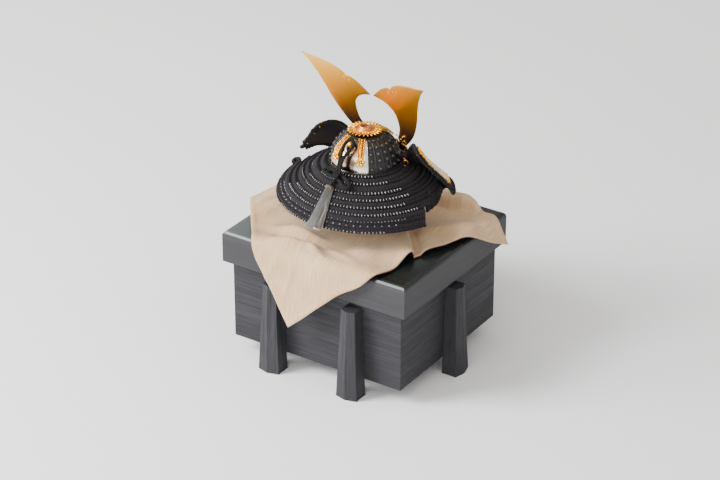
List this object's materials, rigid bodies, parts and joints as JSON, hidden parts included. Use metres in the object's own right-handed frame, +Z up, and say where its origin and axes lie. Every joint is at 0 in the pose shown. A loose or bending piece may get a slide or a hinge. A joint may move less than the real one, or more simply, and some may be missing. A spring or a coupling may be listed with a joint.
{
  "type": "kabuto helmet on a legged chest stand",
  "caption": "Display kabuto: riveted bowl, laced flaring neck guard, turnbacks and tall horns, on a post over a draped cloth and a dark legged chest.",
  "frame": {"origin": "on the floor under the middle of the chest", "axes": "+Z up, -Y to the helmet's front, +X to the wearer's left"},
  "size_m": [0.1762, 0.1582, 0.2135],
  "materials": {
    "stained_wood": "dark grey stain, open grain, satin",
    "lid_lacquer": "black lacquer over grain, semi-gloss",
    "black_lacquer": "black lacquer, gloss",
    "purple_black_lacing": "close cord lacing, matt, scale edges showing",
    "gold": "gold plated, satin to polished",
    "silver": "silver plated, polished",
    "beige_silk": "slubbed silk, soft sheen",
    "silver_brocade": "metallic brocade",
    "black_cord": "braided cord, matt",
    "grey_silk": "fine silk strands, soft sheen",
    "red_bead": "gloss"
  },
  "bodies": {
    "root": {"back_bar_left": "gold", "back_bar_right": "gold", "back_plate": "silver", "bow": "black_cord", "bowl": "black_lacquer", "bowl_band": "black_lacquer", "chest_body": "stained_wood", "chest_leg_back_left": "stained_wood", "chest_leg_back_right": "stained_wood", "chest_leg_front_left": "stained_wood", "chest_leg_front_right": "stained_wood", "chest_leg_left": "stained_wood", "chest_leg_right": "stained_wood", "chest_lid": "lid_lacquer", "crown_collar": "gold", "crown_petals": "gold", "drape_cloth": "beige_silk", "front_bar_left": "gold", "front_bar_right": "gold", "front_plate": "silver", "horn_left": "gold", "horn_mount": "gold", "horn_right": "gold", "neck_lame_1": "purple_black_lacing", "neck_lame_2": "purple_black_lacing", "neck_lame_3": "purple_black_lacing", "neck_lame_4": "purple_black_lacing", "neck_lame_5": "purple_black_lacing", "neck_lame_6": "purple_black_lacing", "ring": "gold", "ring_boss": "gold", "side_eyelet_left": "gold", "side_eyelet_left_bead": "red_bead", "side_eyelet_right": "gold", "side_eyelet_right_bead": "red_bead", "stand_post": "stained_wood", "tassel": "grey_silk", "turnback_left": "purple_black_lacing", "turnback_panel_left": "silver_brocade", "turnback_panel_right": "silver_brocade", "turnback_right": "purple_black_lacing", "visor": "black_lacquer"}
  },
  "joints": []
}
